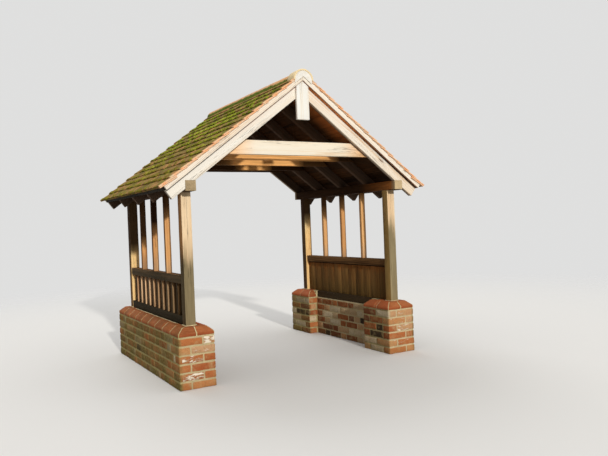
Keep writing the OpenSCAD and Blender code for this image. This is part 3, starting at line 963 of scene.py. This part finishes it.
def worn_copy(node_name, along, arris):
    """A node's mesh with worn arrises, cut across at even steps."""
    work = clean_copy(node_name)
    bmesh.ops.bevel(work, geom=work.edges[:], offset=arris, segments=2, profile=0.6, affect="EDGES",
                    clamp_overlap=True)
    ends = [v.co.dot(along) for v in work.verts]
    at = min(ends) + CUT
    while at < max(ends) - CUT * 0.4:
        bmesh.ops.bisect_plane(work, geom=work.verts[:] + work.edges[:] + work.faces[:],
                               plane_co=along * at, plane_no=along)
        at += CUT
    work.verts.index_update()
    return work


def timber(node_name, look, slot, along, seed, marks=None, arris=0.003):
    """A node's timbers with worn arrises and a slightly uneven surface.

    along is the grain's direction. marks gives a point's painted shade, its stain and painted light, and
    its shelter and painted shade.
    """
    along = Vector(along).normalized()
    across = Vector((0, 1, 0)) if abs(along.y) < 0.9 else Vector((1, 0, 0))
    axes = (along, across, along.cross(across))
    rng = random.Random(seed)
    work = worn_copy(node_name, along, arris)
    place = [None] * len(work.verts)
    tint = [None] * len(work.verts)
    for island in islands(work):
        middle = sum((v.co for v in island), Vector()) / len(island)
        heart = grain_heart(rng, -0.09)
        shift = somewhere(rng, 50)
        tone, vary = rng.random() - 0.5, rng.uniform(0.85, 1.0)
        for v in island:
            place[v.index] = Vector([(v.co - middle).dot(axis) for axis in axes]) + heart
            painted_shade, stain_and_painted_light_share, shelter_and_painted_shade = marks(v.co) if marks else (0.0, 0.0, 0.0)
            tint[v.index] = (tone, painted_shade * vary, stain_and_painted_light_share, shelter_and_painted_shade)
            v.co += noise.noise_vector(v.co * 7 + shift) * WANDER
    mesh = bpy.data.meshes.new(node_name)
    work.to_mesh(mesh)
    work.free()
    mesh.materials.append(look)
    finish_piece(node_name + "_timber", mesh, place, tint, slot, node_name)


def add_board(shape, at, size, arris, rng, stain_and_painted_light_share):
    """A board with eased arrises.

    at(along, across, out) gives its points in the world, the last argument how much stain and painted light
    a point gets.
    """
    cuts = [[0, arris, full - arris, full] for full in size[1:]]
    points, faces = grid_box(lines(0, size[0], arris, 0.12), *cuts)
    heart = grain_heart(rng, 0.02)
    tone = rng.random() - 0.5
    made = []
    for p in points:
        core = held(p, (0, 0, 0), size, arris)
        out = p - core
        made.append(core + out.normalized() * arris if out.length > 1e-9 else p)
    waves = [0.0007 * noise.noise(Vector((p.x * 4 + heart.x, p.y * 9, 0))) for p in made]
    tints = [(tone, 0.0, stain_and_painted_light_share(at(*p), p.z), 0.0) for p in made]
    points = [at(*(p + Vector((0, 0, wave)))) for p, wave in zip(made, waves)]
    shape.add(points, faces, tints, place=[p + heart for p in made])


def panel_boards(side):
    """Upright boards of one side's panel, darker outside."""
    node_name = f"{SIDES[side]}_panel_boards"
    rng = random.Random(31 + (side > 0))
    low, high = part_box(node_name)
    pitch = (high.y - low.y) / BOARDS
    thickness = high.x - low.x
    size = (high.z - low.z, pitch - PANEL_GAP, thickness - PANEL_SHIFT)

    def at(x, y, along, across, out):
        return Vector((x + side * out, y + across, low.z + along))

    def stain_and_painted_light_share(point, out):
        return float(out > thickness * 0.9)

    shape = Shape()
    for i in range(BOARDS):
        y = low.y + i * pitch + PANEL_GAP / 2
        x = (low.x if side > 0 else high.x) + side * rng.uniform(0, PANEL_SHIFT)
        add_board(shape, partial(at, x, y), size, 0.0018, rng, stain_and_painted_light_share)
    shape.build(f"{SIDES[side]}_panel_upright_boards", "dark_timber", [PANEL_OAK], node_name)


def slope_point(side, level, out, y):
    """A point over a slope, level from the middle and out square to the rafters' upper edges."""
    top = PLATE_TOP + (PLATE_INNER - level) * TAN + RAFTER_DEPTH / COS
    return Vector((side * (level + out * SIN), y, top + out * COS))


def boarding_painted_sunlight(point, out):
    """Painted sunlight: the roof's boards are bright where the low sun reaches them, behind the front
    gable.
    """
    return fade(point.y, -0.60, -0.95) * fade(abs(point.x), 0.90, 0.50)


def roof_boarding(side):
    """Boards over the rafters, along the roof."""
    rng = random.Random(41 + (side > 0))
    pitch = BOARDING_X / COS / BOARDS
    size = (2 * BOARDING_END, pitch - BOARDING_GAP, EDGE_THICKNESS - 0.0005)

    def at(start, along, across, out):
        level = BOARDING_X - (start + across) * COS
        return slope_point(side, max(level, 0.0), out, along - BOARDING_END)

    shape = Shape()
    for i in range(BOARDS):
        add_board(shape, partial(at, i * pitch + BOARDING_GAP / 2), size, 0.0025, rng, boarding_painted_sunlight)
    name = SIDES[side]
    shape.build(f"{name}_roof_boards", "dark_timber", [DARK_OAK], f"{name}_roof_boarding")


# Roof covering

# From and to, out from the rafters' upper edges.
BATTENS = (0.0205, 0.034)
VERGE_BED = (0.0452, 0.0562)
# About how wide the fresher strip along a verge is.
VERGE = 0.026
CUSHIONS = {-1: 900, 1: 500}
# Where a tile's points lie along its length and across it, as shares.
TILE_ROWS = [0.0, 0.04, 0.3, 0.55, 0.8, 1.0]
TILE_COLS = [0.0, 0.03, 0.25, 0.5, 0.75, 0.97, 1.0]


def tile(shape, side, level, y0, y1, length, top, rng, moss_share):
    """One plain tile, slightly cambered, with a worn lower edge.

    level is the place of its lower edge and top the height of its upper face there.
    """
    seed = somewhere(rng)
    lift, slip = rng.uniform(-0.0005, 0.0025), rng.uniform(-0.003, 0.003)
    skew, camber = rng.uniform(-0.003, 0.003), rng.uniform(0.0008, 0.0030)
    tone = rng.random()
    points, tints = [], []
    for layer in (0, 1):
        for t in TILE_ROWS:
            for c in TILE_COLS:
                distance = t * length + slip + skew * (c - 0.5)
                if t == 0:
                    distance += 0.0022 * noise.noise(seed + Vector((c * 5, 0, 0)))
                y = y0 + (y1 - y0) * c + 0.0012 * noise.noise(seed + Vector((t * 4, 5, c)))
                over = level - distance * COS
                reach = BED_END - 0.005 if over < BED_RADIUS + 0.004 else TILE_END
                y = max(-reach, min(reach, y))
                edge = 0.0018 if t == 0 or c in (0, 1) else 0.0
                out = top - distance * TILE_FALL + lift + 0.002
                out -= camber * (2 * c - 1) ** 2 + 0.002 * (2 * t - 1) ** 2
                out += 0.0008 * noise.noise(seed + Vector((t * 6, c * 6, 3)))
                out += -edge if layer == 0 else edge * 0.5 - TILE_THICKNESS
                points.append(slope_point(side, over, out, y))
                verge = fade(TILE_END - abs(y), 1.2 * VERGE, 0.2 * VERGE)
                tints.append((tone, seed.x / 90, verge, moss_share))
    shape.add(points, slab_faces(len(TILE_ROWS), len(TILE_COLS)), tints)


def tile_rows(odd):
    """Places of the tiles of a course along the roof."""
    pitch = 2 * TILE_END / TILES_IN_COURSE
    cuts = [i * pitch for i in range(TILES_IN_COURSE + 1)]
    if odd:
        cuts = [0.0] + [(i + 0.5) * pitch for i in range(1, TILES_IN_COURSE - 1)] + [2 * TILE_END]
    return [(a - TILE_END, b - TILE_END) for a, b in zip(cuts, cuts[1:])]


def tiling(side):
    """The tile coat of one slope."""
    rng = random.Random(51 + (side > 0))
    shape = Shape()
    for course in range(-1, COURSES):
        level = TILE_X - max(course, 0) * GAUGE
        top = TILE_TOP - (TILE_THICKNESS if course < 0 else 0)
        length = min(TILE_LENGTH, (level - 0.006) / COS)
        for y0, y1 in tile_rows(course % 2 == 1):
            left = y0 if y0 < 0.001 - TILE_END else y0 + TILE_GAP / 2
            right = y1 if y1 > TILE_END - 0.001 else y1 - TILE_GAP / 2
            tile(shape, side, level, left, right, length, top, rng, 1.0 if side < 0 else 0.75)
    # Battens and felt under the tiles, closed off between the barge boards, and mortar over those.
    inside = BOARDING_END - 0.001
    add_strip(shape, side, 2, BOARDING_X - 0.002, 0.004, *BATTENS, -inside, inside, rng)
    for gable in (-1, 1):
        ends = sorted((gable * (BOARDING_END + 0.004), gable * (TILE_END - 0.009)))
        add_strip(shape, side, 1, TILE_X - 0.006, 0.03, *VERGE_BED, *ends, rng)
    name = SIDES[side]
    shape.build(f"{name}_roof_tiles", "roof_tile", [TILE_LOOK, VERGE_MORTAR, DARK_OAK], f"{name}_tiles")


def add_strip(shape, side, look, start, end, low, high, y0, y1, rng):
    """A bed along a slope from one level distance to another. Mortar is slightly lumpy."""
    points, faces = grid_box(lines(0, start - end, 0.004, 0.03), lines(y0, y1, 0.003, 0.4), [low, high])
    made = []
    for p in points:
        lump = 0.0022 * noise.noise(Vector((p.x * 30, p.y * 30, side * 5 + rng.random() * 0.2)))
        outward = math.copysign(lump, p.y) if look == 1 else 0.0
        made.append(slope_point(side, start - p.x, p.z, p.y + outward))
    shape.add(made, faces, look=look)


def moss_place(side, rng):
    """A cushion's level, y, distance up its course, how thick moss is there, and if it is on an edge."""
    while True:
        course = rng.randrange(COURSES)
        y = rng.uniform(-TILE_END + 0.03, TILE_END - 0.03)
        low_edge = rng.random() < 0.72
        distance = abs(rng.gauss(0, 0.012)) if low_edge else rng.uniform(0, GAUGE / COS)
        level = TILE_X - course * GAUGE - distance * COS
        patch = noise.noise(Vector((level * 3.1, y * 1.5, side * 4.0))) + 0.22 - 0.42 * level
        patch += 0.6 * noise.noise(Vector((level * 11, y * 6, 7)))
        near_verge = TILE_END - abs(y) < 0.10
        need = rng.uniform(-0.55, 0.55) + (0.35 if near_verge else 0.0)
        grows = patch + (0.28 if low_edge else 0.0) >= need
        if grows and level >= 0.11 and not (course == 0 and near_verge):
            return level, y, distance, patch, low_edge


def moss(side):
    """Moss cushions, thickest along the tiles' lower edges."""
    rng = random.Random(61 + (side > 0))
    ball = bmesh.new()
    bmesh.ops.create_icosphere(ball, subdivisions=2, radius=1.0)
    unit = [v.co.copy() for v in ball.verts]
    faces = [[v.index for v in f.verts] for f in ball.faces]
    ball.free()
    shape = Shape()
    for _ in range(CUSHIONS[side]):
        level, y, distance, patch, low_edge = moss_place(side, rng)
        size = rng.uniform(0.006, 0.015) * (1.25 if low_edge else 1.0)
        wide = size * rng.uniform(1.1, 2.6)
        tall = size * rng.uniform(0.45, 0.8)
        turn = rng.uniform(-0.3, 0.3)
        seed = Vector((rng.uniform(0, 90), rng.uniform(0, 90), 0))
        points = []
        for p in unit:
            grow = 1.0 + 0.35 * noise.noise(p * 1.7 + seed)
            along = (p.x * math.cos(turn) - p.y * math.sin(turn)) * size * grow
            across = (p.y * math.cos(turn) + p.x * math.sin(turn)) * wide * grow
            out = TILE_TOP - distance * TILE_FALL - 0.001 + max(p.z, -0.5) * tall * grow
            points.append(slope_point(side, level - along, out, y + across))
        tone = min(1.0, max(0.0, 0.5 + 0.55 * patch + rng.uniform(-0.3, 0.3)))
        shape.add(points, faces, (tone, rng.random(), fade(level, 0.5, 1.1), 0.0))
    shape.build(f"{SIDES[side]}_roof_moss", "roof_tile", [MOSS_LOOK])


def arc_shell(shape, y0, y1, outer, inner, rng, moss_share, drop=0.0, bare=0.0):
    """A half-round length of ridge, open below.

    drop is how far its top lies below the end piece's, bare how much lower the moss starts.
    """
    steps = 28
    angles = [math.pi * i / steps for i in range(steps + 1)]
    seed = somewhere(rng)
    tone = rng.random()
    stations = lines(y0, y1, 0.003, 0.05)
    centre = RIDGE_Z + RIDGE_RADIUS - drop - outer
    points, tints = [], []
    for y in stations:
        edge = 0.0016 if y in (y0, y1) else 0.0
        for radius, arc in ((outer - edge, angles), (inner + edge, angles[::-1])):
            for angle in arc:
                x, z = math.cos(angle), math.sin(angle)
                r = radius + 0.0014 * noise.noise(Vector((x, y * 9, z)) * 2.2 + seed)
                points.append(Vector((r * x, y, centre + r * z)))
                tints.append((tone, seed.x / 90, (-x if x < 0 else x * 0.75) - bare, moss_share))
    ring = 2 * (steps + 1)
    faces = tube_faces(len(stations), ring)
    for at in (0, (len(stations) - 1) * ring):
        faces += [[at + i, at + i + 1, at + ring - 2 - i, at + ring - 1 - i] for i in range(steps)]
    shape.add(points, faces, tints)


def ridge_tiles():
    """Half-round ridge tiles with mortar joints. The front one is higher and bare."""
    rng = random.Random(71)
    shape = Shape()
    arc_shell(shape, -TILE_END, -RIDGE_CAP_END, RIDGE_RADIUS, RIDGE_RADIUS - RIDGE_WALL, rng, 0.0)
    pitch = (TILE_END + RIDGE_CAP_END) / RIDGE_LENGTHS
    for i in range(RIDGE_LENGTHS):
        y = -RIDGE_CAP_END + i * pitch
        drop = RIDGE_DROP + rng.uniform(-0.0015, 0.0015)
        arc_shell(shape, y + RIDGE_GAP / 2, y + pitch - RIDGE_GAP / 2, LOW_RIDGE_RADIUS,
                  LOW_RIDGE_RADIUS - RIDGE_WALL, rng, 1.0, drop, 0.0 if i else 0.06)
        if i:
            arc_shell(shape, y - RIDGE_JOINT / 2, y + RIDGE_JOINT / 2, LOW_RIDGE_RADIUS - 0.001, 0.07,
                      rng, 1.0, RIDGE_DROP + 0.001)
    shape.build("ridge_half_rounds", "ridge_tile", [RIDGE_LOOK], "ridge_tiles")


def ridge_bed():
    """The mortar between the slopes and the ridge tiles, which shows at both ends."""
    shape = Shape()
    columns, rows = 30, 8
    points = []
    for end in (-1, 1):
        for k in range(rows + 1):
            for i in range(columns + 1):
                x = BED_RADIUS * math.sin(math.pi * (i / columns - 0.5))
                low = slope_point(1, abs(x), EDGE_BOARD + 0.001, 0).z - 0.0005
                high = max(RIDGE_Z + math.sqrt(max(BED_RADIUS ** 2 - x * x, 0.0)), low + 0.002)
                z = low + (high - low) * k / rows
                lump = 0.0016 * noise.noise(Vector((x * 45, end * 3.0, z * 45)))
                points.append(Vector((x, end * (BED_END + lump - 0.0015), z)))
    shape.add(points, slab_faces(rows + 1, columns + 1))
    shape.build("ridge_bed_mortar", "mortar", [WHITE_MORTAR], "ridge_mortar")


# A timber point's painted shade, stain and painted light, and shelter and painted shade

# Each just inside its face: distances from the middle of the gate, and one height.
RAIL_FACE = 1.158
POST_FACE, POST_BACK = 1.1618, 1.0732
STUD_FACE = 1.1515
PLATE_FACE = 1.1640
PLATE_BOTTOM = 1.687


def rail_marks(p):
    """Rails are darker on the outer face."""
    return 0.0, float(abs(p.x) > RAIL_FACE), 0.0


def eaves_painted_shadow(p):
    """How much painted shadow of the eaves a point gets. Its edge follows the low sun's shadow, higher in
    front and on the right.
    """
    edge = 1.38 - 0.31 * p.y if p.x < 0 else 1.58 - 0.20 * p.y
    return fade(p.z, edge - 0.04, edge + 0.06)


def post_marks(p):
    """Posts are dark on the outer face, and the side towards the passage is painted shade."""
    return 0.0, float(abs(p.x) > POST_FACE), float(abs(p.x) < POST_BACK)


def rear_post_marks(p):
    """As the front posts, with the eaves' painted shadow in dark brown."""
    return eaves_painted_shadow(p), *post_marks(p)[1:]


def stud_marks(p):
    """Studs are dark outside, with the eaves' painted shadow in dark brown."""
    return eaves_painted_shadow(p), float(abs(p.x) > STUD_FACE), 0.0


def bar_marks(p):
    """Bars are dark outside, and duller near the front post."""
    return 0.0, float(abs(p.x) > STUD_FACE), 0.95 * fade(p.y, 0.25, -0.62)


def rafter_marks(p):
    """Only the gable couples' outer faces are bleached; the dark inner colour elsewhere is also painted
    shade under the roof.
    """
    return 0.0, 0.0, fade(abs(p.y), 1.040, 1.000)


def collar_marks(p):
    """Near its ends the first collar gets painted shade of the rafters; the collars behind it get painted
    shade in dark brown past the low sun's reach.
    """
    behind = max(p.y + 0.55, 0.0)
    reach = 0.60 - 0.46 * behind
    is_behind = fade(p.y, -0.90, -0.89)
    painted_shade = fade(abs(p.x - 0.015 - 0.2 * behind), reach, reach + 0.08) * is_behind
    return painted_shade, 0.9 * fade(abs(p.x), 0.46, 0.70), is_behind


def plate_marks(p):
    """The plates' ends are bleached. The rest is painted shade in near black, but what faces in near the
    front gable keeps its orange as painted sunlight.
    """
    end = fade(abs(p.y), 1.036, 1.042)
    lit = end == 0 and p.z >= PLATE_BOTTOM and abs(p.x) <= PLATE_FACE
    dark = fade(p.y, -1.0, -0.45) if lit else 1.0
    return 0.0, end * (0.68 if p.x < 0 else 1.0), dark


def barge_marks(p):
    """A barge board's lower edge is darker: unbleached wood, and painted shade of its underside."""
    top = slope_point(1, abs(p.x), 0, 0).z
    return 0.0, float((p.z - top) * COS < 0.0012), 0.0


# The pieces

UP, ALONG, ACROSS = (0, 0, 1), (0, 1, 0), (1, 0, 0)


def build_side(side):
    """The pieces of one side. A timber is its node, material, slot, grain, marks and perhaps arris."""
    name = SIDES[side]
    rise = (-side * COS, 0, SIN)
    seed = 100 if side < 0 else 200
    for piece in (
            brickwork,
            coping,
            ("sill", FOOT_OAK, "dark_timber", ALONG, rail_marks),
            ("front_post", POST_OAK[side], "timber", UP, post_marks, 0.004),
            ("rear_post", REAR_OAK, "timber", UP, rear_post_marks, 0.004),
            ("studs", STUD_OAK, "timber", UP, stud_marks),
            ("bottom_rail", FOOT_OAK, "dark_timber", ALONG, rail_marks),
            ("mid_rail", RAIL_OAK, "timber", ALONG, rail_marks),
            panel_boards,
            ("panel_bars", BAR_OAK, "timber", UP, bar_marks, 0.0025),
            ("plate", PLATE_OAK, "dark_timber", ALONG, plate_marks),
            ("rafters", PALE_OAK, "pale_timber", rise, rafter_marks),
            roof_boarding,
            ("eaves_board", EAVES_OAK, "timber", ALONG, None)):
        if callable(piece):
            piece(side)
        else:
            part, look, slot, along, *rest = piece
            seed += 1
            timber(f"{name}_{part}", look, slot, along, seed, *rest)
    for gable in ("front", "rear"):
        seed += 1
        timber(f"{gable}_{name}_barge", PALE_OAK, "pale_timber", rise, seed + 10, barge_marks, 0.0025)
    tiling(side)
    moss(side)


for side in SIDES:
    build_side(side)
timber("collars", COLLAR_OAK, "pale_timber", ACROSS, 301, collar_marks)
timber("front_pendant", PENDANT_OAK, "pale_timber", UP, 302)
timber("rear_pendant", PENDANT_OAK, "pale_timber", UP, 303)
ridge_tiles()
ridge_bed()


# Stage, light and camera

PALE_FLOOR, GROUND_LIGHT = (0.84, 0.836, 0.826, 1), (0.34, 0.32, 0.28, 1)
SKY_LIGHT, PALE_BACKGROUND = (1.0, 0.985, 0.955, 1), (0.74, 0.74, 0.735, 1)
CAMERA_PLACE = (-2.9331, -6.0340, 1.3710)
CAMERA_YAW, CAMERA_TILT, CAMERA_ROLL = 30.2165, -0.4255, -2.2906
LENS, SENSOR_WIDTH = 36.57, 36
FLOOR_RADIUS = 12
FLOOR_FADE = (3.5, 10.0)


def looked_at(tree):
    """1 where the camera looks, also by reflection or through glass."""
    seen = node(tree, "LightPath", {}, "Is Camera Ray")
    return (seen + seen.output("Is Glossy Ray") + seen.output("Is Transmission Ray")).clamped()


def stage():
    """A pale round floor that fades into the background, and lights the object as paving would."""
    made = bpy.data.materials.new("floor")
    made.use_nodes = True
    tree = made.node_tree
    place = node(tree, "NewGeometry", {}, "Position")
    away = node(tree, "VectorMath", {0: place}, "Value", operation="LENGTH")
    shader = tree.nodes["Principled BSDF"]
    tree.links.new(mix(looked_at(tree), GROUND_LIGHT, PALE_FLOOR).socket, shader.inputs["Base Color"])
    shader.inputs["Roughness"].default_value = 0.95
    clear = node(tree, "BsdfTransparent", {})
    blend = node(tree, "MixShader", {0: away.span(*FLOOR_FADE), 1: Value(shader.outputs[0]), 2: clear})
    tree.links.new(blend.socket, tree.nodes["Material Output"].inputs["Surface"])
    bpy.ops.mesh.primitive_circle_add(vertices=96, radius=FLOOR_RADIUS, fill_type="NGON",
                                      location=(0, 0, -0.001))
    floor = bpy.context.object
    floor.name = "floor"
    floor.data.materials.append(made)


def light_world():
    """Soft light, stronger from above, and a plain pale colour where the camera sees past the floor."""
    world = bpy.data.worlds.new("studio")
    bpy.context.scene.world = world
    world.use_nodes = True
    tree = world.node_tree
    upward = node(tree, "TexCoord", {}, "Generated").split()[2]
    back = tree.nodes["Background"]
    back.inputs[0].default_value = SKY_LIGHT
    tree.links.new(upward.span(0.0, 1.0, 0.25, 0.70).socket, back.inputs[1])
    plain = node(tree, "Background", {0: PALE_BACKGROUND, 1: 1.0})
    blend = node(tree, "MixShader", {0: looked_at(tree), 1: Value(back.outputs[0]), 2: plain})
    tree.links.new(blend.socket, tree.nodes["World Output"].inputs[0])


def lamp(name, azimuth, elevation, energy, angle, colour):
    """A far lamp. Angles in degrees, azimuth 0 is in front."""
    data = bpy.data.lights.new(name, "SUN")
    data.energy = energy
    data.angle = math.radians(angle)
    data.color = colour
    made = bpy.data.objects.new(name, data)
    made.rotation_euler = (math.radians(90 - elevation), 0, math.radians(azimuth))
    bpy.context.collection.objects.link(made)


def camera():
    """The photograph's camera, fitted to its straight edges."""
    data = bpy.data.cameras.new("camera")
    data.sensor_fit = "HORIZONTAL"
    data.sensor_width = SENSOR_WIDTH
    data.lens = LENS
    made = bpy.data.objects.new("camera", data)
    turned = Matrix.Translation(CAMERA_PLACE)
    for degrees, axis in ((-CAMERA_YAW, "Z"), (90 + CAMERA_TILT, "X"), (CAMERA_ROLL, "Z")):
        turned @= Matrix.Rotation(math.radians(degrees), 4, axis)
    made.matrix_world = turned
    bpy.context.collection.objects.link(made)
    bpy.context.scene.camera = made


stage()
light_world()
lamp("key", -7, 17.3, 2.22, 2.0, (1.0, 0.965, 0.90))
lamp("fill", 180, 50, 0.7, 35, (1.0, 1.0, 1.0))
camera()
bpy.context.scene.view_settings.view_transform = "Standard"
